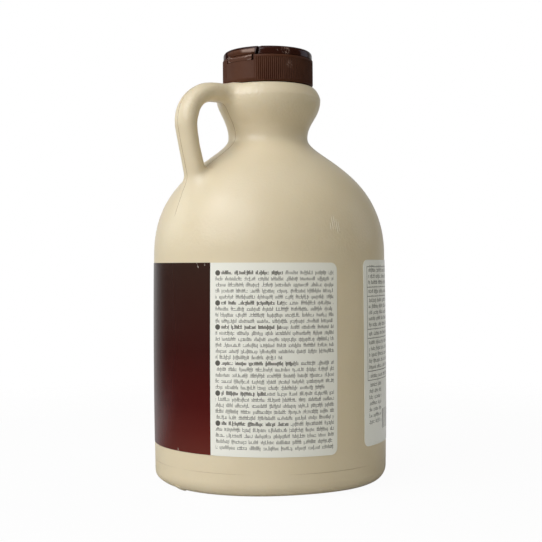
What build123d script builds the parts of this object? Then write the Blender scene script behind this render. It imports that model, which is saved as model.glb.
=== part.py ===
from build123d import *
from math import cos, radians, sin
import os

# Driving dimensions, in millimetres and degrees. +Z is up, the origin is on the jug's axis
# where it stands, and the handle lies in the XZ plane on the +X side.

# body
body_radius = 52.3         # widest, half way up the barrel
barrel_bulge = 0.35         # how much less at the barrel's two ends
barrel_top = 100.7          # height where the shoulder starts
heel_radius = 6.6
foot_ring_width = 8.0       # flat ring that the jug stands on
push_up_depth = 3.5         # dished base inside that ring
neck_radius = 17.7          # narrowest place
shoulder_rise = 52.5        # from the barrel's top to the neck
collar_rise = 17.5          # from the neck to the bulge under the cap
brow_rise = 6.3             # from the bulge to the shelf under the cap
collar_overhang = 3.3       # the bulge's reach past the cap
shelf_setback = 0.7         # the shelf's edge, in from the cap
shoulder_fullness = 0.715   # how far each curve runs on upright before it turns
neck_sharpness = 0.175
waist_softness = 0.42
collar_softness = 0.465
brow_leave = 0.13           # the same for the curve from the bulge in to the shelf
brow_arrive = 0.13
brow_lean = 0.64

# handle
handle_thickness = 8.5      # from the grip side to the outer side
handle_width = 10.5
handle_inset = 4.7          # outer side, in from the body's widest radius
handle_bend = 13.5          # centreline radius of the top corner
handle_lean = 12.0          # the grip leans in towards the shoulder
handle_top_drop = 0.65      # its top, below the shelf under the cap
handle_foot_drop = 28.0     # lower end, inside the shoulder, below the neck
handle_head_depth = 10.0    # upper end, inside the collar
foot_blend = 2.0            # fillets where it leaves the shoulder and the collar
head_blend = 3.0
same_place = 0.01           # closer than this, two edges' middles are the same edge's

# cap
cap_radius = 20.4
skirt_height = 10.95        # without the lid
skirt_wall = 2.2
cap_gap = 0.3               # over the shelf
thread_clearance = 0.2      # round the neck finish
finish_length = 8.6         # plain neck finish above the shelf
rib_count = 144
rib_depth = 0.28
plain_rim = 1.05            # unribbed band at the skirt's top
plain_foot = 0.5            # and at its bottom
rim_rounding = 0.3
lid_inset = 0.35            # lid wall, in from the skirt
lid_height = 4.2
lid_dome = 0.3
lid_rounding = 2.2
hinge_angle = 15.0          # middle of the hinge, about the axis
hinge_span = 41.5
notch_span = 8.0            # gap in the lid at each end of the hinge strap
notch_depth = 2.6
hinge_drop = 1.95           # how far the strap hangs down over the skirt
strap_thickness = 1.3
strap_clearance = 0.15
lip_span = 34.0             # thumb lip opposite the hinge
lip_reach = 1.2
lip_thickness = 1.4
lip_lift = 1.0
cut_margin = 1.0            # how far a cut runs past the face it opens
seat_play = 0.5             # room at each end of the hinge strap

# label
label_foot = 11.15          # lower edge, above the heel
label_head = 3.45           # upper edge, below the shoulder
label_thickness = 0.15
label_corner = 3.0
label_gap_start = 87.2      # bare strip between the label's two ends
label_gap_span = 17.7

# worked out from these
wall_end_radius = body_radius - barrel_bulge
neck_height = barrel_top + shoulder_rise
collar_height = neck_height + collar_rise
collar_radius = cap_radius + collar_overhang
shelf_height = collar_height + brow_rise
shelf_radius = cap_radius - shelf_setback
finish_radius = cap_radius - skirt_wall - thread_clearance
finish_top = shelf_height + finish_length
skirt_bottom = shelf_height + cap_gap
skirt_top = skirt_bottom + skirt_height
lid_radius = cap_radius - lid_inset
lid_top = skirt_top + lid_height


def barrel_point(height, out=0.0):
    """A point of the barrel's bulged wall, or of a surface that lies out from it."""
    middle = (heel_radius + barrel_top) / 2
    half = (barrel_top - heel_radius) / 2
    arc_radius = (half**2 + barrel_bulge**2) / (2 * barrel_bulge)
    reach = ((arc_radius + out) ** 2 - (height - middle) ** 2) ** 0.5
    return body_radius - arc_radius + reach, height


def barrel_wall(low, high, out=0.0):
    middle = (low + high) / 2
    return ThreePointArc(barrel_point(low, out), barrel_point(middle, out), barrel_point(high, out))


def s_curve(start, end, leave, arrive):
    """Upright at both ends; leave and arrive are shares of the height between them."""
    rise = end[1] - start[1]
    return Bezier(start, (start[0], start[1] + leave * rise), (end[0], end[1] - arrive * rise), end)


def ring_piece(inner, outer, bottom, top, middle, span):
    """Part of a flat-topped ring about the axis, span wide, centred on an angle."""
    with BuildPart() as piece:
        with BuildSketch(Plane.XZ):
            with Locations(((inner + outer) / 2, (bottom + top) / 2)):
                Rectangle(outer - inner, top - bottom)
        revolve(axis=Axis.Z, revolution_arc=span)
    return Rot(0, 0, middle - span / 2) * piece.part


def make_body():
    ring_outer = wall_end_radius - heel_radius
    ring_inner = ring_outer - foot_ring_width
    wall_top = (wall_end_radius, barrel_top)
    neck = (neck_radius, neck_height)
    collar = (collar_radius, collar_height)
    shelf = (shelf_radius, shelf_height)
    lean_out = brow_lean * (collar_radius - shelf_radius)
    with BuildPart() as body:
        with BuildSketch(Plane.XZ):
            with BuildLine():
                Line((0, finish_top), (0, push_up_depth))
                TangentArc((0, push_up_depth), (ring_inner, 0), tangent=(1, 0))
                Line((ring_inner, 0), (ring_outer, 0))
                TangentArc((ring_outer, 0), (wall_end_radius, heel_radius), tangent=(1, 0))
                barrel_wall(heel_radius, barrel_top)
                s_curve(wall_top, neck, shoulder_fullness, neck_sharpness)
                s_curve(neck, collar, waist_softness, collar_softness)
                Bezier(
                    collar,
                    (collar_radius, collar_height + brow_leave * brow_rise),
                    (shelf_radius + lean_out, shelf_height - brow_arrive * brow_rise),
                    shelf,
                )
                Polyline(shelf, (finish_radius, shelf_height), (finish_radius, finish_top), (0, finish_top))
            make_face()
        revolve(axis=Axis.Z)
    return body.part


def make_handle():
    """An oval bar: out of the collar, round the top corner and down into the shoulder."""
    axis_height = shelf_height - handle_top_drop - handle_thickness / 2
    axis_reach = body_radius - handle_inset - handle_thickness / 2
    turn_x = axis_reach - handle_bend
    turn_z = axis_height - handle_bend
    lean = radians(handle_lean)
    bend_end = (turn_x + handle_bend * cos(lean), turn_z - handle_bend * sin(lean))
    head = (collar_radius - handle_head_depth, axis_height)
    foot_height = neck_height - handle_foot_drop
    foot = (bend_end[0] - (bend_end[1] - foot_height) * sin(lean) / cos(lean), foot_height)
    half_turn = radians((90 - handle_lean) / 2)
    bend_middle = (turn_x + handle_bend * cos(half_turn), turn_z + handle_bend * sin(half_turn))
    with BuildPart() as handle:
        with BuildLine(Plane.XZ) as path:
            Line(head, (turn_x, axis_height))
            ThreePointArc((turn_x, axis_height), bend_middle, bend_end)
            Line(bend_end, foot)
        with BuildSketch(Plane(origin=path.line @ 0, x_dir=(0, 1, 0), z_dir=path.line % 0)):
            Ellipse(handle_width / 2, handle_thickness / 2)
        sweep(path=path.line)
    return handle.part


def make_jug():
    body, handle = make_body(), make_handle()
    joined = body + handle
    roots = new_edges(body, handle, combined=joined)
    head_edges = [edge for edge in roots if edge.center().Z > neck_height]
    foot_middles = [edge.center() for edge in roots if edge.center().Z < neck_height]
    joined = joined.fillet(head_blend, head_edges)

    def at_the_foot(edge):
        return any((edge.center() - middle).length < same_place for middle in foot_middles)

    return joined.fillet(foot_blend, [edge for edge in joined.edges() if at_the_foot(edge)])


def skirt_outline():
    """Points round the ribbed skirt, with the strip under the hinge left plain."""
    step = 360 / rib_count
    points = []
    for number in range(2 * rib_count):
        angle = number * step / 2
        from_hinge = abs((angle - hinge_angle + 180) % 360 - 180)
        valley = number % 2 == 1 and from_hinge > hinge_span / 2
        radius = cap_radius - (rib_depth if valley else 0)
        points.append((radius * cos(radians(angle)), radius * sin(radians(angle))))
    return points


def make_cap_base():
    with BuildPart() as base:
        with BuildSketch(Plane.XY.offset(skirt_bottom + plain_foot)):
            Polygon(*skirt_outline(), align=None)
        extrude(amount=skirt_height - plain_foot - plain_rim)
        with Locations((0, 0, skirt_top - plain_rim)):
            Cylinder(cap_radius, plain_rim, align=(Align.CENTER, Align.CENTER, Align.MIN))
        fillet(base.faces().sort_by(Axis.Z)[-1].edges(), rim_rounding)
        with Locations((0, 0, skirt_bottom)):
            Cylinder(cap_radius - rib_depth, plain_foot, align=(Align.CENTER, Align.CENTER, Align.MIN))
            Cylinder(
                finish_radius + thread_clearance,
                finish_top - skirt_bottom,
                align=(Align.CENTER, Align.CENTER, Align.MIN),
                mode=Mode.SUBTRACT,
            )
    seat = ring_piece(
        lid_radius - strap_thickness - strap_clearance,
        cap_radius + cut_margin,
        skirt_top - hinge_drop - strap_clearance,
        skirt_top + cut_margin,
        hinge_angle,
        hinge_span + 2 * seat_play,
    )
    return base.part - seat


def make_cap_lid():
    edge_low = lid_top - lid_dome - lid_rounding
    crown_edge = (lid_radius - lid_rounding, lid_top - lid_dome)
    with BuildPart() as disc:
        with BuildSketch(Plane.XZ):
            with BuildLine():
                Polyline((0, lid_top), (0, skirt_top), (lid_radius, skirt_top), (lid_radius, edge_low))
                TangentArc((lid_radius, edge_low), crown_edge, tangent=(0, 1))
                TangentArc((0, lid_top), crown_edge, tangent=(1, 0))
            make_face()
        revolve(axis=Axis.Z)
    strap = ring_piece(
        lid_radius - strap_thickness, cap_radius, skirt_top - hinge_drop, skirt_top, hinge_angle, hinge_span
    )
    lip = ring_piece(
        lid_radius - lip_reach,
        lid_radius + lip_reach,
        skirt_top + lip_lift - lip_thickness / 2,
        skirt_top + lip_lift + lip_thickness / 2,
        hinge_angle + 180,
        lip_span,
    )
    lid = disc.part + strap + lip
    for side in (-1, 1):
        middle = hinge_angle + side * (hinge_span + notch_span) / 2
        lid -= ring_piece(
            lid_radius - notch_depth,
            cap_radius + cut_margin,
            skirt_top - cut_margin,
            lid_top + cut_margin,
            middle,
            notch_span,
        )
    return lid


def make_label():
    """One printed sheet wrapped round the barrel, with a bare strip between its ends."""
    low = heel_radius + label_foot
    high = barrel_top - label_head
    with BuildPart() as label:
        with BuildSketch(Plane.XZ):
            with BuildLine():
                barrel_wall(low, high)
                barrel_wall(low, high, label_thickness)
                Line(barrel_point(low), barrel_point(low, label_thickness))
                Line(barrel_point(high), barrel_point(high, label_thickness))
            make_face()
        revolve(axis=Axis.Z, revolution_arc=360 - label_gap_span)
        corners = [edge for edge in label.edges() if edge.length < 2 * label_thickness]
        fillet(corners, label_corner)
    return Rot(0, 0, label_gap_start + label_gap_span) * label.part


os.makedirs("parts", exist_ok=True)
pieces = {"jug": make_jug(), "cap_base": make_cap_base(), "cap_lid": make_cap_lid(), "label": make_label()}
for name, piece in pieces.items():
    export_step(piece, f"parts/{name}.step")
    print(name, round(piece.volume, 1), piece.bounding_box())
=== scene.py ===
import math

import bmesh
import bpy
import numpy as np
from mathutils import Matrix, Vector
from mathutils.geometry import interpolate_bezier


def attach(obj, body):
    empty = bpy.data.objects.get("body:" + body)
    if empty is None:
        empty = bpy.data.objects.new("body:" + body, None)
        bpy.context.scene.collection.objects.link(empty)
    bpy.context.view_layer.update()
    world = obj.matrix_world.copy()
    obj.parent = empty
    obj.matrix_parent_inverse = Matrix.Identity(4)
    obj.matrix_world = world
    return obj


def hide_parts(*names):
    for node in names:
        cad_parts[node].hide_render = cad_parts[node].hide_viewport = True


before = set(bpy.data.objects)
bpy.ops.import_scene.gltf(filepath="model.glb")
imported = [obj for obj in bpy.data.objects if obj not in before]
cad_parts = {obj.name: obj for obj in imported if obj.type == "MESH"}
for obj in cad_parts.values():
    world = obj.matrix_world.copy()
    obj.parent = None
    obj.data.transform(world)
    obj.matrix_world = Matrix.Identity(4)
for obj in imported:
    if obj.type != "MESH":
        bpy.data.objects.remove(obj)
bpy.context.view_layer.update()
mm = 0.001
print("frame loaded")


# meshes and pieces

def faceOut(bm):
    bmesh.ops.recalc_face_normals(bm, faces=bm.faces)


def onAxis(angle, radius, height):  # degrees and millimetres to a point in metres
    turn = math.radians(angle)
    return Vector((radius * math.cos(turn), radius * math.sin(turn), height)) * mm


def show(thing):
    bpy.context.scene.collection.objects.link(thing)


def toMesh(bm, name):
    mesh = bpy.data.meshes.new(name)
    bm.to_mesh(mesh)
    bm.free()
    return mesh


def only(kind, items):
    return [item for item in items if isinstance(item, kind)]


def addPiece(name, mesh, material, standsFor=None):
    mesh.materials.clear()
    mesh.materials.append(material)
    piece = bpy.data.objects.new(name, mesh)
    show(piece)
    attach(piece, "root")
    if standsFor:
        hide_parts(standsFor)
    return piece


def meshFrom(bm, name, sharpAngle=None):
    bm.normal_update()
    for face in bm.faces:
        face.smooth = True
    if sharpAngle:
        for edge in bm.edges:
            edge.smooth = edge.calc_face_angle(0) < math.radians(sharpAngle)
    return toMesh(bm, name)


def addOutline(bm, points, angle=0.0, closed=False):  # radius and height pairs, in millimetres
    verts = [bm.verts.new(onAxis(angle, radius, height)) for radius, height in points]
    edges = [bm.edges.new(pair) for pair in zip(verts, verts[1:])]
    if closed:
        edges.append(bm.edges.new((verts[-1], verts[0])))
    return verts + edges


def turned(points, steps):  # a closed shape of revolution
    bm = bmesh.new()
    outline = addOutline(bm, points, closed=points[0][0] > 0)
    bmesh.ops.spin(
        bm, geom=outline, cent=(0, 0, 0), axis=(0, 0, 1), angle=math.tau, steps=steps, use_merge=True
    )
    bmesh.ops.remove_doubles(bm, verts=bm.verts, dist=0.002 * mm)
    faceOut(bm)
    return bm


def ringPart(points, start, end, steps):  # a closed section swept part of the way round
    bm = bmesh.new()
    outline = addOutline(bm, points, start, closed=True)
    first = only(bmesh.types.BMEdge, outline)
    swept = bmesh.ops.spin(
        bm, geom=outline, cent=(0, 0, 0), axis=(0, 0, 1), angle=math.radians(end - start), steps=steps
    )
    last = only(bmesh.types.BMEdge, swept["geom_last"])
    for rim in (first, last):
        bmesh.ops.contextual_create(bm, geom=rim)
    faceOut(bm)
    return bm


def fromAxis(point):  # the other way: a point in metres to degrees and millimetres
    x, y, z = point / mm
    return math.degrees(math.atan2(y, x)), math.hypot(x, y), z


def moveRound(bm, change):  # change takes and gives angle, radius and height
    for vert in bm.verts:
        vert.co = onAxis(*change(*fromAxis(vert.co)))


def planeCut(bm, place, normal, clear=False):  # clear takes away what lies on the normal's side
    everything = bm.verts[:] + bm.edges[:] + bm.faces[:]
    bmesh.ops.bisect_plane(bm, geom=everything, plane_co=place, plane_no=normal, clear_outer=clear)


def appliedMesh(bm, name, addModifiers):
    helper = bpy.data.objects.new(name, toMesh(bm, name))
    show(helper)
    addModifiers(helper)
    bpy.context.view_layer.update()
    shown = helper.evaluated_get(bpy.context.evaluated_depsgraph_get())
    made = bpy.data.meshes.new_from_object(shown)
    bpy.data.objects.remove(helper)
    return made


def cutBy(bm, cutters, name):
    tools = []
    for number, cutter in enumerate(cutters):
        mesh = toMesh(cutter, f"cutter{number}")
        tools.append(bpy.data.objects.new(mesh.name, mesh))
        show(tools[-1])

    def addCuts(helper):
        for tool in tools:
            cut = helper.modifiers.new("cut", "BOOLEAN")
            cut.operation, cut.solver, cut.object = "DIFFERENCE", "EXACT", tool

    made = appliedMesh(bm, name, addCuts)
    for tool in tools:
        bpy.data.objects.remove(tool)
    return made


def softenEdges(piece, width, segments, angle):
    soften = piece.modifiers.new("soften", "BEVEL")
    soften.width, soften.segments = width * mm, segments
    soften.limit_method, soften.angle_limit = "ANGLE", math.radians(angle)


# node helpers

def newMaterial(name):
    material = bpy.data.materials.new(name)
    material.use_nodes = True
    return material, material.node_tree, material.node_tree.nodes["Principled BSDF"]


def plug(tree, socket, value):
    if isinstance(value, bpy.types.NodeSocket):
        tree.links.new(value, socket)
    else:
        socket.default_value = value


def addNode(tree, kind, inputs=None, **settings):
    node = tree.nodes.new("ShaderNode" + kind)
    for key, value in settings.items():
        setattr(node, key, value)
    for key, value in (inputs or {}).items():
        plug(tree, node.inputs[key], value)
    return node


def calc(tree, operation, *values):
    node = addNode(tree, "Math", operation=operation)
    for socket, value in zip(node.inputs, values):
        plug(tree, socket, value)
    return node.outputs[0]


def product(tree, *values):
    total = values[0]
    for value in values[1:]:
        total = calc(tree, "MULTIPLY", total, value)
    return total


def plus(tree, value, other):
    return calc(tree, "ADD", value, other)


def minus(tree, value, other):
    return calc(tree, "SUBTRACT", value, other)


def larger(tree, value, other):
    return calc(tree, "MAXIMUM", value, other)


def above(tree, value, low):
    return calc(tree, "GREATER_THAN", value, low)


def below(tree, value, high):
    return calc(tree, "LESS_THAN", value, high)


def within(tree, value, low, high):
    return product(tree, above(tree, value, low), below(tree, value, high))


def nearTo(tree, value, place, reach):
    return below(tree, calc(tree, "ABSOLUTE", minus(tree, value, place)), reach)


def remap(tree, value, low, high, toLow=0.0, toHigh=1.0, shape="SMOOTHSTEP"):
    node = addNode(tree, "MapRange", interpolation_type=shape)
    for socket, number in zip(node.inputs, (value, low, high, toLow, toHigh)):
        plug(tree, socket, number)
    return node.outputs[0]


def between(tree, share, low, high):
    return remap(tree, share, 0.0, 1.0, low, high, "LINEAR")


def blendColour(tree, share, under, over, way="MIX"):
    node = addNode(tree, "Mix", data_type="RGBA", blend_type=way)
    for place, value in ((0, share), (6, under), (7, over)):
        plug(tree, node.inputs[place], value)
    return node.outputs[2]


def noise(tree, where, scale, detail=2.0, rough=0.5):
    inputs = {"Vector": where, "Scale": scale, "Detail": detail, "Roughness": rough}
    return addNode(tree, "TexNoise", inputs).outputs[0]


def chanceOf(tree, number):  # the same chance each time for the same number
    return addNode(tree, "TexWhiteNoise", {"W": number}, noise_dimensions="1D").outputs["Value"]


def bump(tree, height, distance, strength=1.0, onto=None):
    inputs = {"Height": height, "Distance": distance, "Strength": strength}
    if onto is not None:
        inputs["Normal"] = onto
    return addNode(tree, "Bump", inputs).outputs[0]


def objectPlace(tree):
    return addNode(tree, "TexCoord").outputs["Object"]


def mixShaders(tree, share, under, over):
    return addNode(tree, "MixShader", {0: share, 1: under, 2: over}).outputs[0]


def glow(tree, colour):
    return addNode(tree, "Emission", {"Color": colour}).outputs[0]


def setShader(tree, shader, **values):
    for name, value in values.items():
        plug(tree, shader.inputs[name.replace("_", " ")], value)


# camera, floor and light

stageLook = {
    "cameraAngle": 55.0, "cameraReach": 508.0, "cameraHeight": 94.26,  # degrees, then millimetres
    "lean": 0.0074, "lens": 74.33, "shift": (0.00326, -0.00332),
    "floorDrop": 0.00005, "floorRadius": 0.6, "floorFade": (0.2, 0.5),  # metres
    "floorPale": (0.70, 0.70, 0.70, 1), "floorPaler": (0.74, 0.74, 0.74, 1), "floorRough": 0.8,
    "floorWhite": 0.96,  # how far the floor looks plain white when it is seen directly
    "floorGloss": (0.0, 0.12, 0.12, 0.5),  # in gloss: from and to how far back, and how white at each
    "backdropGloss": (0.5, 1.05, 0.03, 0.6), "ambient": (0.325, 0.312, 0.265, 1), "lampsMeet": (0, 0, 0.1),
}


def addCamera():
    look = stageLook
    turn, lean = math.radians(look["cameraAngle"]), look["lean"]
    back = Vector((math.cos(turn), math.sin(turn), 0))
    right, up = Vector((-math.sin(turn), math.cos(turn), 0)), Vector((0, 0, 1))
    axes = (
        math.cos(lean) * right - math.sin(lean) * up,
        math.sin(lean) * right + math.cos(lean) * up,
        back,
    )
    camera = bpy.data.objects.new("camera", bpy.data.cameras.new("camera"))
    camera.matrix_world = Matrix.Translation(
        (back * look["cameraReach"] + up * look["cameraHeight"]) * mm
    ) @ Matrix(axes).transposed().to_4x4()
    camera.data.lens, camera.data.sensor_width = look["lens"], 36.0
    camera.data.shift_x, camera.data.shift_y = look["shift"]
    camera.data.clip_start, camera.data.clip_end = 0.01, 20.0
    show(camera)
    bpy.context.scene.camera = camera


lamps = {  # side angle from the camera (right is positive), height angle, distance, size, watts, colour
    "key": (-45.0, 34.0, 0.9, (0.8, 0.7), 5.8, (0.94, 0.95, 1.0)),
    "high": (-68.0, 55.0, 0.9, (0.55, 0.7), 1.35, (0.90, 0.93, 1.0)),
    "overhead": (-40.0, 80.0, 0.9, (0.5, 0.5), 0.46, (0.80, 0.88, 1.0)),
    "leftRear": (-110.0, 20.0, 1.2, (0.6, 0.6), 1.5, (0.90, 1.0, 1.0)),
    "rightRear": (110.0, 20.0, 1.2, (0.6, 0.6), 0.75, (0.74, 0.82, 1.0)),
}


def addLamps():
    middle = Vector(stageLook["lampsMeet"])
    for name, (side, height, distance, size, power, colour) in lamps.items():
        turn = math.radians(stageLook["cameraAngle"] + side)
        rise = math.radians(height)
        away = Vector((math.cos(turn) * math.cos(rise), math.sin(turn) * math.cos(rise), math.sin(rise)))
        lamp = bpy.data.objects.new(name, bpy.data.lights.new(name, "AREA"))
        lamp.data.shape, lamp.data.energy, lamp.data.color = "RECTANGLE", power, colour
        lamp.data.size, lamp.data.size_y = size
        lamp.location = middle + away * distance
        lamp.rotation_euler = away.to_track_quat("Z", "Y").to_euler()
        show(lamp)


def howFarBack(tree, where):  # how far a place or a direction lies away from the front
    turn = math.radians(stageLook["cameraAngle"])
    inputs = {0: where, 1: (-math.cos(turn), -math.sin(turn), 0)}
    return addNode(tree, "VectorMath", inputs, operation="DOT_PRODUCT").outputs["Value"]


def addWorld():
    world = bpy.data.worlds.new("studio")
    bpy.context.scene.world = world
    world.use_nodes = True
    tree = world.node_tree
    back = howFarBack(tree, addNode(tree, "TexCoord").outputs["Generated"])
    rays = addNode(tree, "LightPath").outputs
    backdrop = remap(tree, back, *stageLook["backdropGloss"])
    seen = blendColour(tree, rays["Is Glossy Ray"], stageLook["ambient"], backdrop)
    seen = blendColour(tree, rays["Is Camera Ray"], seen, (1, 1, 1, 1))
    plug(tree, tree.nodes["Background"].inputs["Color"], seen)


def addFloor():
    look = stageLook
    material, tree, shader = newMaterial("paleFloor")
    where = objectPlace(tree)
    colour = blendColour(tree, noise(tree, where, 40.0, 3.0), look["floorPale"], look["floorPaler"])
    setShader(tree, shader, Base_Color=colour, Roughness=look["floorRough"])
    rays = addNode(tree, "LightPath").outputs
    dim = glow(tree, remap(tree, howFarBack(tree, where), *look["floorGloss"]))
    lit = mixShaders(tree, rays["Is Glossy Ray"], shader.outputs[0], dim)
    whiteShare = product(tree, rays["Is Camera Ray"], look["floorWhite"])
    lit = mixShaders(tree, whiteShare, lit, glow(tree, (1, 1, 1, 1)))
    radius = addNode(tree, "VectorMath", {0: where}, operation="LENGTH").outputs["Value"]
    clear = addNode(tree, "BsdfTransparent").outputs[0]
    faded = mixShaders(tree, remap(tree, radius, *look["floorFade"]), lit, clear)
    tree.links.new(faded, tree.nodes["Material Output"].inputs["Surface"])
    bm = bmesh.new()
    under = Matrix.Translation((0, 0, -look["floorDrop"]))
    bmesh.ops.create_circle(bm, cap_ends=True, segments=96, radius=look["floorRadius"], matrix=under)
    mesh = meshFrom(bm, "floor")
    mesh.materials.append(material)
    floor = bpy.data.objects.new("floor", mesh)
    show(floor)


addCamera()
addLamps()
addWorld()
addFloor()
bpy.context.scene.view_settings.view_transform = "Standard"
print("camera, lamps and floor placed")


# finishes

creamLook = {
    "light": (0.765, 0.66, 0.468, 1), "dark": (0.735, 0.63, 0.436, 1), "rough": (0.29, 0.36),
    "fine": (0.60, 0.50, 0.34, 1), "speck": (0.34, 0.24, 0.13, 1), "speckSize": 0.016,
    "seam": (0.33, 0.21, 0.09, 1), "scuff": (0.86, 0.77, 0.60, 1), "tintShare": 0.85,
    "collarPeel": (0.150, 0.166, 0.25, 1.0),  # orange peel: from and to what height, and how much at each
    "barePeel": ((0.096, 0.104), (0.112, 0.126, 0.6, 0.0)),  # the same above the label, rising and falling
}


def creamPlastic(name="creamPlastic", tint=None):
    look = creamLook
    material, tree, shader = newMaterial(name)
    where = objectPlace(tree)
    height = addNode(tree, "SeparateXYZ", {0: where}).outputs["Z"]
    cloud = noise(tree, where, 28.0, 3.0)
    fine = noise(tree, where, 900.0, 2.0)
    peel = noise(tree, where, 800.0, 1.5, 0.4)
    colour = blendColour(tree, remap(tree, cloud, 0.3, 0.7), look["light"], look["dark"])
    colour = blendColour(tree, remap(tree, fine, 0.55, 0.8, 0.0, 0.10), colour, look["fine"])
    specks = addNode(tree, "TexVoronoi", {"Vector": where, "Scale": 55.0}).outputs["Distance"]
    colour = blendColour(tree, below(tree, specks, look["speckSize"]), colour, look["speck"])
    if tint:
        colour = blendColour(tree, look["tintShare"], colour, tint)
    rising, falling = look["barePeel"]
    bare = product(tree, remap(tree, height, *rising), remap(tree, height, *falling))
    peelDepth = larger(tree, remap(tree, height, *look["collarPeel"]), bare)
    slow = bump(tree, noise(tree, where, 60.0, 2.0), 0.00025, 0.5)
    surface = bump(tree, product(tree, peel, peelDepth), 0.0002, 0.9, slow)
    setShader(
        tree, shader, Base_Color=colour, Roughness=remap(tree, cloud, 0.3, 0.7, *look["rough"]),
        Normal=surface, IOR=1.5,
        Subsurface_Weight=0.12, Subsurface_Radius=(1.0, 0.65, 0.35), Subsurface_Scale=0.002,
    )
    return material


capLook = {
    "brown": (0.088, 0.0325, 0.0162, 1), "deep": (0.074, 0.0252, 0.0122, 1),
    # the pale colour is for scuffs and stress-whitened hinge plastic; on the hinge's slanted face, strap
    # edge and crease marks it is also a painted highlight
    "darkest": (0.030, 0.0075, 0.0045, 1), "wornAndHighlit": (0.42, 0.30, 0.25, 1), "wornAndHighlitShare": 0.7,
    "skirtScuffs": [((0.0025, 0.0202, 0.1842), 0.0021)],  # the middle of each and its size, in metres
    "lidScuffs": [((0.0040, 0.0197, 0.1902), 0.0026), ((0.0080, 0.0184, 0.1899), 0.0008)],
}


def capPlastic(name, rough, scuffs, paleAndHighlight=0.0, shade=0.0, gloss=0.5):
    material, tree, shader = newMaterial(name)
    where = objectPlace(tree)
    cloud = noise(tree, where, 90.0, 3.0)
    fine = noise(tree, where, 1500.0, 2.0)
    colour = blendColour(tree, remap(tree, cloud, 0.35, 0.65), capLook["brown"], capLook["deep"])
    if shade:
        colour = blendColour(tree, shade, colour, capLook["darkest"])
    # the hinge's paleness per point: stress-whitened plastic together with a painted highlight
    wearAndHighlight = addNode(tree, "Attribute", attribute_name="wearAndHighlight").outputs["Fac"]
    # paleness over the whole material, used for the crease marks: stress whitening and painted highlight
    if paleAndHighlight:
        wearAndHighlight = plus(tree, wearAndHighlight, paleAndHighlight)
    wornAndHighlit = product(tree, wearAndHighlight, remap(tree, fine, 0.2, 0.6, 0.8, 1.0))
    broken = remap(tree, noise(tree, where, 1400.0, 3.0, 0.7), 0.5, 0.62)
    for centre, size in scuffs:
        gap = addNode(tree, "VectorMath", {0: where, 1: centre}, operation="DISTANCE").outputs["Value"]
        wornAndHighlit = larger(tree, wornAndHighlit, product(tree, remap(tree, gap, size, size * 0.35), broken))
    # scuffs, stress whitening and painted highlights all blend towards the pale colour
    colour = blendColour(tree, product(tree, wornAndHighlit, capLook["wornAndHighlitShare"]), colour, capLook["wornAndHighlit"])
    roughness = remap(tree, cloud, 0.3, 0.7, rough - 0.03, rough + 0.04)
    roughness = plus(tree, roughness, product(tree, wornAndHighlit, 0.1))
    surface = bump(tree, noise(tree, where, 800.0, 2.0), 0.00003, 0.6)
    setShader(
        tree, shader, Base_Color=colour, Roughness=roughness, Normal=surface, IOR=1.4,
        Specular_IOR_Level=gloss,
    )
    return material


cream = creamPlastic()
creamSeam = creamPlastic("creamSeam", creamLook["seam"])
creamScuff = creamPlastic("creamScuff", creamLook["scuff"])
print("cream finishes made")


# jug: the outline as radius and height, then the handle's centre line as reach and height

jugShape = {
    "pushUp": 3.5, "ringInside": 37.35, "ringOutside": 45.35, "heel": 6.6, "wall": 51.95, "widest": 52.3,
    "shoulder": 100.7, "neck": (17.7, 153.2), "collar": (23.7, 170.7), "shelf": (19.7, 176.28),
    "finish": (18.0, 185.6), "shoulderPull": (0.724, 0.175), "waistPull": (0.42, 0.465),
    "browPull": (0.13, 0.13), "browLean": 0.64, "grain": 0.85,  # grain is the size of the mesh's squares
    "waves": 10, "waveDepth": 0.012, "waveLengths": (16, 45), "waveSeed": 7,
    "lift": (70.0, 62.0, 0.65, 12.0),  # where the base stands high: angle, half width, how much, up to
    "dents": (  # angle and its spread, height and its spread, depth: by the collar, the neck and the heel
        (-38.0, 34.0, 164.5, 5.5, 0.95), (-38.0, 36.0, 147.0, 11.0, -0.5), (-22.0, 30.0, 3.3, 2.0, -0.42),
    ),
}
handleShape = {
    "head": (13.7, 172.1), "turn": (29.85, 158.6), "bend": 13.5, "lean": 12.0, "footHeight": 112.0,
    "thick": 8.3, "wide": 12.3, "squareness": 2.15,
    "slimHeights": (136.0, 142.0, 148.0, 154.0, 161.0, 168.0),
    "slims": (1.0, 0.95, 0.93, 0.955, 1.045, 1.0), "shifts": (0.0, 0.25, 0.42, 0.25, -0.27, 0.0),
    "blendHeights": (116.0, 128.0, 136.0, 143.0, 160.0, 168.0), "blends": (10.0, 9.0, 4.0, 1.8, 2.2, 3.4),
}


def barrelRadius(height):
    s = jugShape
    middle, half = (s["heel"] + s["shoulder"]) / 2, (s["shoulder"] - s["heel"]) / 2
    bulge = s["widest"] - s["wall"]
    arc = (half**2 + bulge**2) / (2 * bulge)
    return s["widest"] - arc + math.sqrt(arc**2 - (height - middle) ** 2)


def softCurve(start, end, leave, arrive, count, lean=None):
    rise = end[1] - start[1]
    inward = end[0] if lean is None else end[0] + lean * (start[0] - end[0])
    knots = (start, (start[0], start[1] + leave * rise), (inward, end[1] - arrive * rise), end)
    return [tuple(p.xy) for p in interpolate_bezier(*[Vector((r, z, 0)) for r, z in knots], count)]


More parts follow.
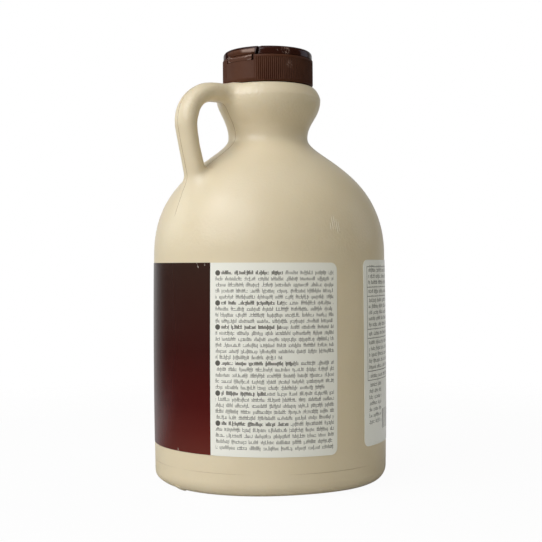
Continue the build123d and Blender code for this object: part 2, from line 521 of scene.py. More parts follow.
def jugOutline():
    s = jugShape
    dome = (s["ringInside"] ** 2 + s["pushUp"] ** 2) / (2 * s["pushUp"])
    points = [
        (r, s["pushUp"] - dome + math.sqrt(dome**2 - r * r)) for r in np.linspace(0, s["ringInside"], 50)
    ]
    points += [(r, 0.0) for r in np.linspace(s["ringInside"], s["ringOutside"], 12)]
    for turn in np.linspace(0, math.pi / 2, 30):
        points.append((s["ringOutside"] + s["heel"] * math.sin(turn), s["heel"] * (1 - math.cos(turn))))
    points += [(barrelRadius(z), z) for z in np.linspace(s["heel"], s["shoulder"], 120)]
    points += softCurve((s["wall"], s["shoulder"]), s["neck"], *s["shoulderPull"], 140)
    points += softCurve(s["neck"], s["collar"], *s["waistPull"], 50)
    points += softCurve(s["collar"], s["shelf"], *s["browPull"], 30, s["browLean"])
    points += [(s["finish"][0], s["shelf"][1])]
    points += [(s["finish"][0], z) for z in np.linspace(s["shelf"][1] + 0.5, s["finish"][1], 16)]
    points += [(r, s["finish"][1]) for r in np.linspace(s["finish"][0], 0, 20)[1:]]
    kept = [points[0]]
    for point in points[1:]:
        if math.dist(point, kept[-1]) > 0.01:
            kept.append(point)
    return np.array(kept)


def handleLine():
    s = handleShape
    lean = math.radians(s["lean"])
    head, (turnX, turnZ), bend = s["head"], s["turn"], s["bend"]
    points = [(x, head[1]) for x in np.linspace(head[0], turnX, 40)]
    for turn in np.linspace(0, math.pi / 2 + lean, 70)[1:]:
        points.append((turnX + bend * math.sin(turn), turnZ + bend * math.cos(turn)))
    endX, endZ = points[-1]
    points += [(endX - (endZ - z) * math.tan(lean), z) for z in np.linspace(endZ, s["footHeight"], 90)[1:]]
    return np.array(points)


outlinePoints, handlePoints = jugOutline(), handleLine()


def unit(vectors):
    return vectors / np.linalg.norm(vectors, axis=1)[:, None]


def lineNormals(line):
    run = np.gradient(line, axis=0)
    return unit(np.stack([run[:, 1], -run[:, 0]], 1))


def besideLine(places, line, normals):  # signed distance beside a line, and its direction
    distance, direction = np.empty(len(places)), np.empty((len(places), 2))
    batch = 4000
    for first in range(0, len(places), batch):
        part = places[first : first + batch]
        near = ((part[:, None] - line[None]) ** 2).sum(2).argmin(1).clip(1, len(line) - 2)
        best = np.full(len(part), np.inf)
        for start in (near - 1, near):
            low, run = line[start], line[start + 1] - line[start]
            share = (((part - low) * run).sum(1) / (run**2).sum(1)).clip(0, 1)[:, None]
            away = part - low - share * run
            normal = unit(normals[start] * (1 - share) + normals[start + 1] * share)
            length = np.linalg.norm(away, axis=1)
            better = length < best
            best[better] = length[better]
            side = np.where((away * normal).sum(1) < 0, -1.0, 1.0)
            distance[first : first + batch][better] = (length * side)[better]
            direction[first : first + batch][better] = normal[better]
    return distance, direction


outlineNormals, handleNormals = lineNormals(outlinePoints), lineNormals(handlePoints)


def slowWaves(places):
    s = jugShape
    chance = np.random.default_rng(s["waveSeed"])
    depth, slope = np.zeros(len(places)), np.zeros((len(places), 3))
    for number in range(s["waves"]):
        way = chance.normal(size=3)
        way *= math.tau / chance.uniform(*s["waveLengths"]) / np.linalg.norm(way)
        phase = places @ way + chance.uniform(0, math.tau)
        depth += np.sin(phase) * s["waveDepth"]
        slope += np.cos(phase)[:, None] * way * s["waveDepth"]
    return depth, slope


def baseLift(places):
    middle, half, rise, top = jugShape["lift"]
    turn = np.degrees(np.arctan2(places[:, 1], places[:, 0])) - middle
    around = np.cos(np.radians(turn / half * 90).clip(-math.pi / 2, math.pi / 2)) ** 2
    return rise * around * (1 - places[:, 2] / top).clip(0, 1) ** 1.5


def dented(places):  # how deep the body is drawn in, near the handle's side
    depths = np.zeros(len(places))
    for angle, spread, height, tall, depth in jugShape["dents"]:
        turn = (np.degrees(np.arctan2(places[:, 1], places[:, 0])) - angle) / spread
        depths += depth * np.exp(-(turn**2) - ((places[:, 2] - height) / tall) ** 2)
    return depths


def jugSurface(places):  # how far outside the jug each place is, and the way out
    radius = np.hypot(places[:, 0], places[:, 1])
    level = places[:, 2] - baseLift(places)
    bodyGap, flat = besideLine(np.stack([radius, level], 1), outlinePoints, outlineNormals)
    spoke = places[:, :2] / np.maximum(radius, 1e-9)[:, None]
    bodyOut = np.concatenate([spoke * flat[:, :1], flat[:, 1:]], 1)
    dent, step = dented(places), 0.2
    bodyGap = bodyGap + dent
    bodyOut = bodyOut + np.stack([(dented(places + step * way) - dent) / step for way in np.eye(3)], 1)
    s = handleShape
    shifted = places[:, 0] - np.interp(places[:, 2], s["slimHeights"], s["shifts"])
    slim = np.interp(places[:, 2], s["slimHeights"], s["slims"])
    across, side = besideLine(np.stack([shifted, places[:, 2]], 1), handlePoints, handleNormals)
    long = np.maximum(np.hypot(across, places[:, 1]), 1e-6)
    thin, wide = s["thick"] / 2 * slim, s["wide"] / 2 * slim
    power = s["squareness"]
    shares = np.abs(across / thin) ** power, np.abs(places[:, 1] / wide) ** power
    size = np.maximum((shares[0] + shares[1]) ** (1 / power), 1e-6)
    handleGap = long * (1 - 1 / size)

    def outwards(offset, share):  # how the gap to the handle's skin grows with an offset from its middle
        growth = share / np.where(np.abs(offset) < 1e-6, 1e-6, offset)
        return offset / long * (1 - 1 / size) + growth * long / size ** (power + 1)

    outAcross, outWide = outwards(across, shares[0]), outwards(places[:, 1], shares[1])
    handleOut = np.stack([side[:, 0] * outAcross, outWide, side[:, 1] * outAcross], 1)
    blend = np.interp(places[:, 2], s["blendHeights"], s["blends"])
    share = (0.5 + 0.5 * (handleGap - bodyGap) / blend).clip(0, 1)
    gap = handleGap * (1 - share) + bodyGap * share - blend * share * (1 - share)
    out = handleOut * (1 - share)[:, None] + bodyOut * share[:, None]
    depth, slope = slowWaves(places)
    return gap - depth, out - slope


def makeJugMesh():
    bm = turned([tuple(p) for p in outlinePoints[::2]] + [tuple(outlinePoints[-1])], 160)
    s = handleShape
    rings = bmesh.ops.create_circle(bm, segments=32, radius=1.0)["verts"]
    path = handlePoints[::4]
    way = np.gradient(path, axis=0)

    def section(number):
        forward = Vector((way[number][0], 0, way[number][1])).normalized()
        sideways = Vector((0, 1, 0))
        inward = sideways.cross(forward)
        axes = Matrix((inward * s["thick"] / 2 * mm, sideways * s["wide"] / 2 * mm, forward)).transposed()
        return Matrix.Translation(Vector((path[number][0], 0, path[number][1])) * mm) @ axes.to_4x4()

    edges = list({edge for vert in rings for edge in vert.link_edges})
    bmesh.ops.contextual_create(bm, geom=edges)
    bmesh.ops.transform(bm, matrix=section(0), verts=rings)
    for number in range(1, len(path)):
        grown = bmesh.ops.extrude_edge_only(bm, edges=edges)["geom"]
        edges = only(bmesh.types.BMEdge, grown)
        edges = [edge for edge in edges if all(vert in grown for vert in edge.verts)]
        rings = only(bmesh.types.BMVert, grown)
        bmesh.ops.transform(bm, matrix=section(number) @ section(number - 1).inverted(), verts=rings)
    bmesh.ops.contextual_create(bm, geom=edges)
    faceOut(bm)

    def addRemesh(helper):
        remesh = helper.modifiers.new("remesh", "REMESH")
        remesh.mode, remesh.voxel_size = "VOXEL", jugShape["grain"] * mm

    mesh = appliedMesh(bm, "jug_body", addRemesh)
    places = np.empty(len(mesh.vertices) * 3)
    mesh.vertices.foreach_get("co", places)
    places = places.reshape(-1, 3) / mm
    for step in range(4):
        gap, out = jugSurface(places)
        places -= (gap / (out**2).sum(1))[:, None] * out
    places[:, 2] = places[:, 2].clip(0)
    gap, out = jugSurface(places)
    farthest = round(float(abs(gap).max()), 3)
    print("jug mesh", len(mesh.polygons), "faces, farthest from its surface", farthest, "mm")
    mesh.vertices.foreach_set("co", (places * mm).ravel())
    mesh.update()
    mesh.shade_smooth()
    mesh.normals_split_custom_set_from_vertices(unit(out).tolist())
    return mesh


jugMesh = makeJugMesh()
addPiece("jug_body", jugMesh, cream, "jug")

seamShape = {
    "halfWidth": 0.23, "height": 0.07, "sunk": 0.12, "thick": 0.25, "fade": (113.0, 119.0), "base": 3.0,
}


def makeSeam():  # the raised parting line round the jug, where the mould's halves met
    s = seamShape
    half = s["halfWidth"] * mm
    bm = bmesh.new()
    bm.from_mesh(jugMesh)
    planeCut(bm, (0, half, 0), (0, 1, 0), True)
    planeCut(bm, (0, -half, 0), (0, -1, 0), True)
    for share in (-0.5, 0.0, 0.5):
        planeCut(bm, (0, share * half, 0), (0, 1, 0))
    bmesh.ops.remove_doubles(bm, verts=bm.verts, dist=0.01 * mm)
    out = jugSurface(np.array([vert.co[:] for vert in bm.verts]) / mm)[1]
    low, high = s["fade"]
    for vert, way in zip(bm.verts, unit(out)):
        shown = min(1.0, max(0.0, (vert.co.z / mm - low) / (high - low)))
        if vert.co.z < s["base"] * mm:
            shown = 1.0
        edge = 1 - (1 - (vert.co.y / half) ** 2) * shown
        vert.co += Vector(way) * (s["height"] * (1 - edge) - s["sunk"] * edge) * mm
        vert.co.z = max(vert.co.z, 0.0)
    hidden = [face for face in bm.faces if s["base"] * mm < face.calc_center_median().z < low * mm]
    bmesh.ops.delete(bm, geom=hidden, context="FACES")
    seam = addPiece("seam_line", meshFrom(bm, "seam_line"), creamSeam)
    wall = seam.modifiers.new("wall", "SOLIDIFY")
    wall.thickness, wall.offset = s["thick"] * mm, -1


makeSeam()

insertShape = {"height": 10.3, "halfWidth": 0.16, "proud": 0.05, "sunk": 0.2}


def makeInsertLine():  # the fine line round the heel, where the mould's bottom plate met
    s = insertShape
    radius = barrelRadius(s["height"])
    points = [
        (radius - s["sunk"], s["height"] - s["halfWidth"]),
        (radius + s["proud"], s["height"]),
        (radius - s["sunk"], s["height"] + s["halfWidth"]),
    ]
    addPiece("insert_line", meshFrom(turned(points, 240), "insert_line", 60), creamSeam)


makeInsertLine()

marks = {  # angle, height, length, width, how proud, lean in degrees
    "scratches": [
        (85.3, 112.2, 3.6, 0.40, 0.11, 1), (86.5, 113.4, 6.0, 0.46, 0.14, 2),
        (87.7, 113.3, 6.2, 0.42, 0.13, 2), (88.9, 112.2, 6.4, 0.50, 0.16, 3),
        (90.0, 111.7, 4.4, 0.40, 0.11, 4),
    ],
    "pinch": (2.8, 1.0, 5.4, 5.6, 0.42, 0),
}


def makeMark(name, material, slotName, place, outward, angle, length, width, proud, lean):
    bm = bmesh.new()
    bmesh.ops.create_uvsphere(bm, u_segments=20, v_segments=12, radius=0.5)
    sideways = Vector((0, 1, 0))
    along = outward.cross(sideways)
    tilt = Matrix.Rotation(math.radians(lean), 3, outward)
    axes = Matrix((outward * proud * 2, tilt @ sideways * width, tilt @ along * length))
    turn = Matrix.Rotation(math.radians(angle), 4, "Z") @ Matrix.Scale(mm, 4)
    shape = Matrix.Translation(place) @ axes.transposed().to_4x4()
    bmesh.ops.transform(bm, matrix=turn @ shape, verts=bm.verts)
    for vert in bm.verts:
        vert.co.z = max(vert.co.z, 0.0)
    faceOut(bm)
    addPiece(name, meshFrom(bm, name), material)


def markJug(name, material, angle, height, *shape):
    outer = outlinePoints[:400]  # from the base to the neck
    inBase = outer[:, 0] < 40
    row = int(np.argmin(abs(outer[:, 1] - height) + 1000 * inBase))
    (radius, level), (out, up) = outlinePoints[row], outlineNormals[row]
    makeMark(name, material, "jug", Vector((radius, 0, level)), Vector((out, 0, up)), angle, *shape)


for number, mark in enumerate(marks["scratches"]):
    markJug(f"scratch_{number + 1}", creamScuff, *mark)
markJug("pinch_scar", cream, *marks["pinch"])
print("jug made")


# label: a flat sheet with round corners, bent round the barrel; its map is in sheet widths

labelShape = {
    "start": 104.85, "end": 447.2, "low": 18.52, "high": 79.5, "drop": (0.0012, 8.5e-6), "corner": 3.0,
    "thick": 0.15, "sunk": 0.1, "radius": 52.4, "slice": 1.6, "row": 6.0, "panel": 55.1,
}
labelWidth = math.radians(labelShape["end"] - labelShape["start"]) * labelShape["radius"]
labelInk = {
    "paper": (0.88, 0.875, 0.795, 1), "dullPaper": (0.855, 0.85, 0.765, 1),
    # the table panel's paper is brighter and bluer than the rest: partly its own colour, partly painted
    # reflection on the shaded side
    "tablePaperAndSheen": (0.95, 0.955, 0.90, 1), "ink": (0.085, 0.08, 0.065, 1), "rough": (0.20, 0.26),
    "dark": (  # millimetres down from the top edge, and the colour there; the greyer top is partly painted reflection
        (0.0, (0.040, 0.019, 0.0135, 1)), (36.0, (0.046, 0.0070, 0.0052, 1)),
        (60.0, (0.074, 0.0058, 0.0045, 1)), (71.0, (0.106, 0.0125, 0.0085, 1)),
        (79.0, (0.130, 0.022, 0.015, 1)),
    ),
    "nearText": (0.022, 0.0085, 0.007, 1), "nearTextWidth": 36.0, "nearTextShare": 0.35,
    "nicks": ((251.6, 1.2, 1.1, 0.45), (255.2, 0.7, 0.5, 0.3), (239.5, 78.7, 0.6, 0.2)),
    "nickHalf": 0.16, "bare": (0.62, 0.55, 0.47, 1),  # nicks: along, down from the top, half length, tilt
}
textPanel = {
    "pitch": 2.472, "firstLine": 4.32, "rise": 0.56, "lines": 30, "left": 2.4, "right": 53.3,
    "indent": 2.75, "paragraphs": (0, 5, 9, 15, 20, 25),
    "shorter": ((14, 22.5), (19, 4.5)),  # a line, and by how much
    "boldEnds": (24.0, 36.0), "strength": (0.84, 0.97), "seed": 3.1,
    "bullet": 1.12, "bulletMiddle": 0.52, "bulletStrength": 0.95,
}
tablePanel = {
    "rules": (3.0, 11.75, 15.65, 29.7, 33.6, 47.6, 51.5), "ruleHalf": 0.13, "ruleRoom": 1.2,
    "ruleStrength": 0.85, "pitch": 2.62, "start": 0.15, "lines": 23, "left": 2.6, "margin": 1.0,
    "shortLine": 16.0, "strength": 0.84, "seed": 71.3,
    "bars": ((17.3, 46.0), (65.0, 73.5)), "barWidth": 0.42, "barsAbove": 0.42,
}
strokeLook = {  # widths in millimetres, heights as shares of a line, then chances
    "letter": 1.04, "word": 6.4, "evenness": 0.85, "wordGap": 0.075, "halfWidths": (0.25, 0.38),
    "tops": (0.50, 0.02), "topLimits": (0.10, 0.36), "foot": 0.76, "tail": 0.17,
    "upperBar": (0.36, 0.45), "lowerBar": (0.67, 0.76),
    "tailsAbove": 0.86, "strokesAbove": 0.10, "upperAbove": 0.45, "lowerBelow": 0.5,
    "shuffle": (37.73, 1.37, 11.9, 5.5),  # keeps words, letters and lines from matching
}


def greekLines(tree, along, line, frac, bold, seed):
    # rows of short strokes, grouped like words: print with nothing to read
    s = strokeLook
    wordShift, letterShift, lineShift, secondShift = s["shuffle"]
    spread = calc(tree, "DIVIDE", along, s["word"])
    spread = plus(tree, spread, product(tree, line, wordShift))
    words = addNode(
        tree, "TexVoronoi", {"W": plus(tree, spread, seed), "Scale": 1.0, "Randomness": s["evenness"]},
        voronoi_dimensions="1D", feature="DISTANCE_TO_EDGE",
    ).outputs["Distance"]
    cell = calc(tree, "DIVIDE", along, s["letter"] / 2)
    mixed = product(tree, calc(tree, "FLOOR", cell), letterShift)
    mixed = plus(tree, mixed, product(tree, line, lineShift))
    first = chanceOf(tree, plus(tree, mixed, seed))
    second = chanceOf(tree, plus(tree, mixed, seed + secondShift))
    halfStroke = between(tree, bold, *s["halfWidths"])
    stroke = nearTo(tree, calc(tree, "FRACT", cell), 0.5, halfStroke)
    highest, lowest = s["topLimits"]
    top = between(tree, first, *s["tops"])
    top = calc(tree, "MINIMUM", larger(tree, top, highest), lowest)
    foot = plus(tree, s["foot"], product(tree, above(tree, second, s["tailsAbove"]), s["tail"]))
    strokes = product(tree, stroke, within(tree, frac, top, foot), above(tree, second, s["strokesAbove"]))
    upper = product(tree, within(tree, frac, *s["upperBar"]), above(tree, first, s["upperAbove"]))
    lower = product(tree, within(tree, frac, *s["lowerBar"]), below(tree, second, s["lowerBelow"]))
    marked = larger(tree, strokes, larger(tree, upper, lower))
    return product(tree, marked, above(tree, words, s["wordGap"]))


def textPrint(tree, text, down):  # paragraphs that open with a bullet and some bold words
    s = textPanel
    rows = calc(tree, "DIVIDE", minus(tree, down, s["firstLine"]), s["pitch"])
    rows = plus(tree, rows, s["rise"])
    line, frac = calc(tree, "FLOOR", rows), calc(tree, "FRACT", rows)
    opening = 0.0
    for number in s["paragraphs"]:
        opening = plus(tree, opening, calc(tree, "COMPARE", line, float(number), 0.1))
    left = plus(tree, s["left"], product(tree, opening, s["indent"]))
    right = s["right"]
    for number, short in s["shorter"]:
        onLine = calc(tree, "COMPARE", line, float(number), 0.1)
        right = minus(tree, right, product(tree, onLine, short))
    boldEnd = between(tree, chanceOf(tree, line), *s["boldEnds"])
    bold = product(tree, opening, below(tree, text, boldEnd))
    inBlock = product(tree, within(tree, text, left, right), within(tree, line, -0.5, s["lines"] - 0.5))
    ink = product(tree, greekLines(tree, text, line, frac, bold, s["seed"]), inBlock)
    ink = product(tree, ink, between(tree, bold, *s["strength"]))
    across = minus(tree, text, s["left"] + s["bullet"])
    lift = product(tree, minus(tree, frac, s["bulletMiddle"]), s["pitch"])
    gap = calc(tree, "SQRT", plus(tree, product(tree, across, across), product(tree, lift, lift)))
    bullets = product(tree, opening, below(tree, gap, s["bullet"]), s["bulletStrength"])
    return larger(tree, ink, bullets)


def tablePrint(tree, along, down):  # rows in ruled boxes, then short rows beside a field of bars
    s = tablePanel
    count, rules = 0.0, 0.0
    for rule in s["rules"]:
        count = plus(tree, count, above(tree, down, rule))
        rules = larger(tree, rules, nearTo(tree, down, rule, s["ruleHalf"]))
    room = product(tree, minus(tree, count, 1.0), s["ruleRoom"])
    padded = minus(tree, down, plus(tree, s["rules"][0] + s["start"], room))
    rows = calc(tree, "DIVIDE", padded, s["pitch"])
    line, frac = calc(tree, "FLOOR", rows), calc(tree, "FRACT", rows)
    left, right = s["left"], labelShape["panel"] - s["left"]
    inside = within(tree, along, left + s["margin"], right - s["margin"])
    inRows = product(tree, inside, within(tree, line, -0.5, s["lines"] - 0.5))
    boxed = minus(tree, 1.0, above(tree, down, s["rules"][-1]))
    inRows = product(tree, inRows, larger(tree, boxed, below(tree, along, s["shortLine"])))
    ink = product(tree, greekLines(tree, along, line, frac, 0.0, s["seed"]), inRows, s["strength"])
    half = s["ruleHalf"]
    sides = larger(tree, nearTo(tree, along, left, half), nearTo(tree, along, right, half))
    sides = product(tree, sides, within(tree, down, s["rules"][0] - half, s["rules"][-1] + half))
    rules = larger(tree, product(tree, rules, within(tree, along, left, right)), sides)
    ink = larger(tree, ink, product(tree, rules, s["ruleStrength"]))
    chance = chanceOf(tree, calc(tree, "FLOOR", calc(tree, "DIVIDE", along, s["barWidth"])))
    (start, end), (top, bottom) = s["bars"]
    bars = product(tree, above(tree, chance, s["barsAbove"]), within(tree, along, start, end))
    return larger(tree, ink, product(tree, bars, within(tree, down, top, bottom)))


def labelMaterial():
    look = labelInk
    material, tree, shader = newMaterial("labelFilm")
    uv = addNode(tree, "UVMap", uv_map="sheet").outputs[0]
    parts = addNode(tree, "SeparateXYZ", {0: uv}).outputs
    along = product(tree, parts["X"], labelWidth)
    down = minus(tree, labelShape["high"], product(tree, parts["Y"], labelWidth))
    textStart = labelWidth - labelShape["panel"]
    text = minus(tree, along, textStart)
    inTable, inText = below(tree, along, labelShape["panel"]), above(tree, text, 0.0)
    where = objectPlace(tree)
    cloud = noise(tree, where, 35.0, 3.0)

    # the dark panel, redder towards its foot, with a greyer top that is partly painted reflection
    fade = addNode(tree, "ValToRGB", {"Fac": calc(tree, "DIVIDE", down, labelShape["high"])})
    steps = fade.color_ramp.elements
    while len(steps) < len(look["dark"]):
        steps.new(0.5)
    for step, (place, shade) in zip(steps, look["dark"]):
        step.position, step.color = place / labelShape["high"], shade
    nearText = remap(
        tree, along, textStart - look["nearTextWidth"], textStart, look["nearTextShare"], 0.0, "LINEAR"
    )
    dark = blendColour(tree, nearText, fade.outputs["Color"], look["nearText"])

    # the two pale panels and their print
    white = blendColour(tree, remap(tree, cloud, 0.3, 0.7, 0.0, 0.25), look["paper"], look["dullPaper"])
    # the table panel gets the brighter paper, partly painted reflection
    white = blendColour(tree, inTable, white, look["tablePaperAndSheen"])
    textInk, tableInk = textPrint(tree, text, down), tablePrint(tree, along, down)
    ink = plus(tree, product(tree, inText, textInk), product(tree, inTable, tableInk))
    white = blendColour(tree, ink, white, look["ink"])
    colour = blendColour(tree, larger(tree, inTable, inText), dark, white)

    # nicks that show the bare film
    nick = 0.0
    for start, level, half, tilt in look["nicks"]:
        offset, drop = minus(tree, along, start), minus(tree, down, level)
        onNick = nearTo(tree, offset, product(tree, drop, tilt), look["nickHalf"])
        nick = larger(tree, nick, product(tree, onNick, nearTo(tree, down, level, half)))
    nick = product(tree, nick, remap(tree, noise(tree, where, 1200.0), 0.35, 0.6))
    colour = blendColour(tree, nick, colour, look["bare"])
    ripple = bump(tree, noise(tree, where, 55.0, 2.0), 0.0002, 0.35)
    surface = bump(tree, noise(tree, where, 700.0, 2.0), 0.00002, 0.4, ripple)
    rough = remap(tree, cloud, 0.3, 0.7, *look["rough"])
    setShader(tree, shader, Base_Color=colour, Roughness=rough, Normal=surface, IOR=1.4)
    return material


def makeLabel():
    s = labelShape
    bm = bmesh.new()
    sheetCorners = ((0, 0, 0), (labelWidth, 0, 0), (labelWidth, s["high"], 0), (0, s["high"], 0))
    corners = [bm.verts.new(place) for place in sheetCorners]
    bm.faces.new(corners)
    bmesh.ops.bevel(
        bm, geom=corners, offset=s["corner"], offset_type="OFFSET", affect="VERTICES", segments=8,
        profile=0.5, material=-1,
    )
    for along in np.arange(s["slice"], labelWidth, s["slice"]):
        planeCut(bm, (along, 0, 0), (1, 0, 0))
    for up in np.arange(s["row"], s["high"], s["row"]):
        planeCut(bm, (0, up, 0), (0, 1, 0))
    grown = bmesh.ops.extrude_face_region(bm, geom=bm.faces[:])["geom"]
    bmesh.ops.translate(bm, vec=(0, 0, s["thick"]), verts=only(bmesh.types.BMVert, grown))
    faceOut(bm)
    sheet = bm.loops.layers.uv.new("sheet")
    for face in bm.faces:
        for loop in face.loops:
            loop[sheet].uv = (loop.vert.co.x / labelWidth, loop.vert.co.y / labelWidth)
    bm.normal_update()
    sharp = [edge for edge in bm.edges if edge.calc_face_angle(0) > math.radians(50)]
    degreesEach = 1 / math.radians(1) / s["radius"]  # for one millimetre along
    slope, curve = s["drop"]
    for vert in bm.verts:
        along, up, out = vert.co
        height = s["low"] + up - slope * along - curve * along**2
        around = along + (slope + 2 * curve * along) * (up - s["high"] / 2)
        radius = barrelRadius(height) + (out if out > 0 else -s["sunk"])
        vert.co = onAxis(s["start"] + around * degreesEach, radius, height)
    faceOut(bm)
    for edge in sharp:
        edge.smooth = False
    addPiece("label_sheet", meshFrom(bm, "label_sheet"), labelMaterial(), "label")


makeLabel()
print("label made")


# cap: millimetres, and start and end angles where two numbers come first

capShape = {
    "radius": 20.4, "low": 176.55, "high": 188.25, "bore": 18.2, "boreTop": 185.6, "footStep": 0.26,
    "footRound": (0.25, 0.07), "topRound": (0.3, 0.09), "ribs": 144, "ribDepth": 0.36,
    "ribsLow": 177.2, "ribsHigh": 187.15, "plain": (-7.0, 37.6), "ribFade": 9.0, "ribLeast": 0.25,
    "seat": (-7.4, 37.4, 18.7, 185.75), "past": 24.0, "pastTop": 192.0,
    "lidRadius": 20.05, "lidTop": 192.45, "dome": 0.3, "rounding": 1.9, "lidGap": 0.06, "lidFoot": 0.22,
    "pocket": (-8.7, 38.9, 18.4, 191.0), "notchInside": 17.4, "notchFoot": 0.4, "notchTop": 192.8,
    "notches": ((38.7, 43.2, 2.3), (-13.2, -8.7, -2.3)),  # start, end and lean
    "strap": (-5.0, 34.9), "lip": (178.0, 212.0), "lidSoften": 0.14, "lipSoften": 0.2,
}
skirtBrown = capPlastic("capBrown", 0.5, capLook["skirtScuffs"], gloss=0.22)
lidBrown = capPlastic("capGloss", 0.15, capLook["lidScuffs"], shade=0.9)
# the crease marks' material is pale all over: stress whitening and painted highlights
creaseHighlightBrown = capPlastic("capCreaseHighlight", 0.3, [], 0.75)


def angleGap(angle, start):
    return (angle - start) % 360


def makeSkirt():
    s = capShape
    radius, low, high, bore, boreTop = s["radius"], s["low"], s["high"], s["bore"], s["boreTop"]
    foot = radius - s["footStep"]
    wide, small = s["footRound"]
    points = [(0, boreTop), (bore, boreTop), (bore, low), (foot - wide, low), (foot - small, low + small)]
    points += [(foot, low + wide), (foot, s["ribsLow"] - 0.12), (radius, s["ribsLow"] + 0.1)]
    points += [(radius, z) for z in np.linspace(s["ribsLow"] + 1.0, s["ribsHigh"] - 0.4, 6)]
    wide, small = s["topRound"]
    points += [(radius, s["ribsHigh"] - 0.1), (radius, s["ribsHigh"] + 0.15), (radius, high - wide)]
    points += [(radius - small, high - small), (radius - wide, high), (bore, high), (0, high)]
    bm = turned(points, s["ribs"] * 6)

    def rib(angle, reach, height):
        plain = angleGap(angle, s["plain"][0]) < s["plain"][1] - s["plain"][0]
        if plain or reach < foot + 0.05 or not s["ribsLow"] < height < s["ribsHigh"]:
            return angle, reach, height
        valley = ((1 - math.cos(math.radians(angle * s["ribs"]))) / 2) ** 2
        fromPlain = min(angleGap(angle, s["plain"][1]), angleGap(s["plain"][0], angle))
        depth = s["ribDepth"] * valley * min(1.0, s["ribLeast"] + fromPlain / s["ribFade"])
        return angle, reach - depth, height

    moveRound(bm, rib)
    start, end, inside, bottom = s["seat"]
    past, top = s["past"], s["pastTop"]
    seat = ringPart([(inside, bottom), (past, bottom), (past, top), (inside, top)], start, end, 40)
    mesh = cutBy(bm, [seat], "cap_skirt")
    mesh.shade_smooth()
    mesh.set_sharp_from_angle(angle=math.radians(50))
    addPiece("cap_skirt", mesh, skirtBrown, "cap_base")


def makeLid():
    s = capShape
    low, radius, foot, rounding = s["high"] + s["lidGap"], s["lidRadius"], s["lidFoot"], s["rounding"]
    edgeTop = s["lidTop"] - s["dome"]
    points = [(0, low), (radius - 1.4, low), (radius - foot, low), (radius, low + foot)]
    for turn in np.linspace(0, math.pi / 2, 12):
        inward, down = rounding * (1 - math.cos(turn)), rounding * (1 - math.sin(turn))
        points.append((radius - inward, edgeTop - down))
    flatRadius = radius - rounding
    for share in (0.85, 0.65, 0.4, 0.2, 0.0):
        points.append((flatRadius * share, edgeTop + s["dome"] * (1 - share**2)))
    bm = turned(points, 240)
    start, end, inside, top = s["pocket"]
    under, past = low - 1, s["past"]
    cutters = [ringPart([(inside, under), (past, under), (past, top), (inside, top)], start, end, 48)]
    inside, top, bend = s["notchInside"], s["notchTop"], low + s["notchFoot"]
    notch = [(inside, under), (past, under), (past, bend), (past, top), (inside, top), (inside, bend)]
    for start, end, lean in s["notches"]:
        cutter = ringPart(notch, start, end, 5)

        def leanOut(angle, reach, height):
            return angle + lean * max(0.0, height - low - s["notchFoot"]) / 3, reach, height

        moveRound(cutter, leanOut)
        cutters.append(cutter)
    mesh = cutBy(bm, cutters, "cap_lid_top")
    mesh.shade_smooth()
    mesh.set_sharp_from_angle(angle=math.radians(40))
    lid = addPiece("cap_lid_top", mesh, lidBrown, "cap_lid")
    softenEdges(lid, s["lidSoften"], 2, 50)


# paleness per point on the hinge pieces: stress whitening together with a painted highlight
def addPaleWearAndHighlight(mesh, paleAndHighlightOf):
    values = mesh.attributes.new("wearAndHighlight", "FLOAT", "POINT")
    for number, vert in enumerate(mesh.vertices):
        values.data[number].value = paleAndHighlightOf(*fromAxis(vert.co))


hingeShape = {
    "brow": (  # the slanted upper half's section: radius and height
        (18.6, 191.3), (19.9, 191.05), (19.95, 190.85), (20.28, 189.4), (20.16, 189.2), (19.85, 188.95),
        (19.6, 188.7), (19.52, 188.45), (18.6, 188.45),
    ),
    "strap": (  # the lower half's
        (18.9, 188.45), (19.5, 188.4), (19.72, 188.0), (20.1, 187.62), (20.25, 187.49), (20.33, 187.41),
        (20.38, 187.3), (20.41, 187.1), (20.41, 186.3), (20.40, 185.9), (20.36, 185.8), (18.9, 185.8),
    ),
    "facet": (17.0, 19.0, 1.6),  # the slanted face: widens from, over how many degrees, and how fast
    "facetTop": (190.8, 190.9, 190.4, 0.45),  # between these heights: the least height and its gain
    "facetFoot": (188.8, 189.5, 188.7, 0.3, 0.95),  # between these heights: a level, how far in and up
    "facetPaleAndHighlight": (19.92, 189.3, 190.95, 0.9),  # beyond this radius, between these heights: how pale, as stress whitening and painted highlight
    "crest": (187.35, 1.3, 0.3, 1.5),  # the strap's upper edge: height, rise, flat share, how fast
    "crestBase": 187.42, "bend": (186.3, 0.9), "inner": (187.9, 0.4), "wave": (0.05, 1.7, 20.1, 187.0),
    "crestPaleAndHighlight": (0.22, 0.08, 25.0, 20.0, 4.0, 0.45),  # the strap edge's pale line, stress whitening and painted highlight: how wide, from which angles, and between them
}


def facetShare(angle):  # the hinge's slanted upper face widens towards one end
    start, spread, power = hingeShape["facet"]
    return min(1.0, max(0.0, (angle - start) / spread)) ** power


def crestHeight(angle):  # the strap's upper edge sags in the middle and is a little crumpled
    middle = (capShape["strap"][0] + capShape["strap"][1]) / 2
    share = (angle - middle) / (capShape["strap"][1] - middle)
    height, rise, flat, power = hingeShape["crest"]
    sag = height + rise * max(0.0, abs(share) - flat) ** power
    return sag + 0.09 * math.sin(angle * 0.9) + 0.06 * math.sin(angle * 2.1 + 1.0)


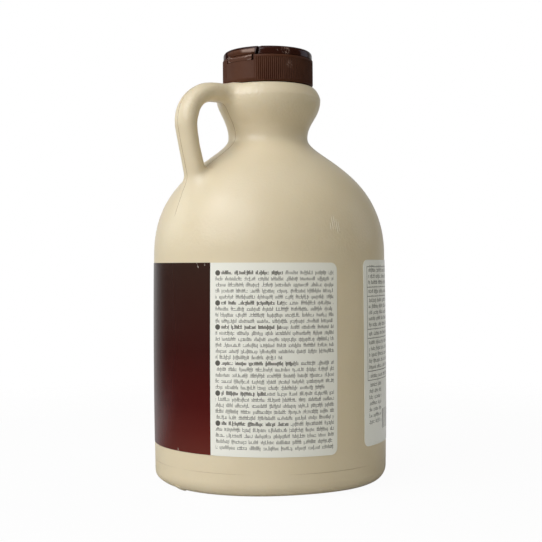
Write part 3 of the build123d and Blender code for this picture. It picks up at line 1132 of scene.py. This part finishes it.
def makeHinge():
    s, h = capShape, hingeShape
    bm = ringPart(h["brow"], s["pocket"][0] + 0.05, s["pocket"][1] - 0.05, 64)

    def browShape(angle, radius, height):
        low, high, least, gain = h["facetTop"]
        if low < height < high:
            return angle, radius, least + gain * facetShare(angle)
        low, high, level, inward, upward = h["facetFoot"]
        if low < height < high:
            narrow = 1 - facetShare(angle)
            radius -= inward * narrow * (height - low) / 0.6
            height += upward * narrow * (height - level) / 0.7
        return angle, radius, height

    # the slanted face is painted pale: partly stress whitening, partly a painted highlight
    def facetWhiteningAndHighlight(angle, radius, height):
        inner, low, high, wornAndHighlit = h["facetPaleAndHighlight"]
        onFace = radius > inner and low < height < high and angle > h["facet"][0]
        return wornAndHighlit * min(1.0, 8 * facetShare(angle)) if onFace else 0.0

    moveRound(bm, browShape)
    mesh = meshFrom(bm, "cap_hinge_brow", 65)
    addPaleWearAndHighlight(mesh, facetWhiteningAndHighlight)
    brow = addPiece("cap_hinge_brow", mesh, skirtBrown)
    bm = ringPart(h["strap"], *s["strap"], 72)

    def strapShape(angle, radius, height):
        bend, over = h["bend"]
        lift = (crestHeight(angle) - h["crestBase"]) * min(1.0, max(0.0, (height - bend) / over))
        level, share = h["inner"]
        if height > level:
            lift *= share
        depth, pace, inner, low = h["wave"]
        wave = depth * math.sin(angle * pace) if radius > inner and height > low else 0.0
        return angle, radius + wave, height + lift

    # the strap's upper edge is painted pale in a thin line: stress whitening and a painted highlight
    def crestWhiteningAndHighlight(angle, radius, height):
        wide, narrow, wideFrom, paleFrom, paleTo, between = h["crestPaleAndHighlight"]
        reach = wide if angle > wideFrom else narrow
        if abs(height - crestHeight(angle)) >= reach or not 20.0 < radius < 20.6:
            return 0.0
        return 1.0 if angle > paleFrom or angle < paleTo else between

    moveRound(bm, strapShape)
    mesh = meshFrom(bm, "cap_hinge_strap", 65)
    addPaleWearAndHighlight(mesh, crestWhiteningAndHighlight)
    strap = addPiece("cap_hinge_strap", mesh, skirtBrown)
    for piece in (brow, strap):
        smooth = piece.modifiers.new("smooth", "SUBSURF")
        smooth.levels = smooth.render_levels = 2


def makeLip():
    s = capShape
    points = [(18.8, 188.6), (20.9, 188.6), (21.25, 188.95), (21.25, 189.55), (20.9, 189.9), (18.8, 189.9)]
    mesh = meshFrom(ringPart(points, *s["lip"], 34), "cap_thumb_lip", 40)
    lip = addPiece("cap_thumb_lip", mesh, lidBrown)
    softenEdges(lip, s["lipSoften"], 3, 30)


creaseHighlightMarks = [  # angle, height, length, width, how proud, lean: pale creases at the strap's ends, stress-whitened and standing in for painted highlights at its corners
    (-3.6, 188.15, 2.6, 0.30, 0.12, 84), (-1.2, 188.45, 1.8, 0.26, 0.12, 70),
    (-3.4, 187.5, 2.6, 0.28, 0.10, 98), (-1.5, 186.25, 2.4, 0.26, 0.08, 76),
    (31.6, 186.15, 2.2, 0.24, 0.08, 95),
]


def markStrap():
    for number, (angle, height, *shape) in enumerate(creaseHighlightMarks):
        place = Vector((capShape["radius"] - 0.02, 0, height))
        makeMark(f"cap_crease_highlight_{number + 1}", creaseHighlightBrown, "cap", place, Vector((1, 0, 0)), angle, *shape)


makeSkirt()
makeLid()
makeHinge()
makeLip()
markStrap()
print("cap made")
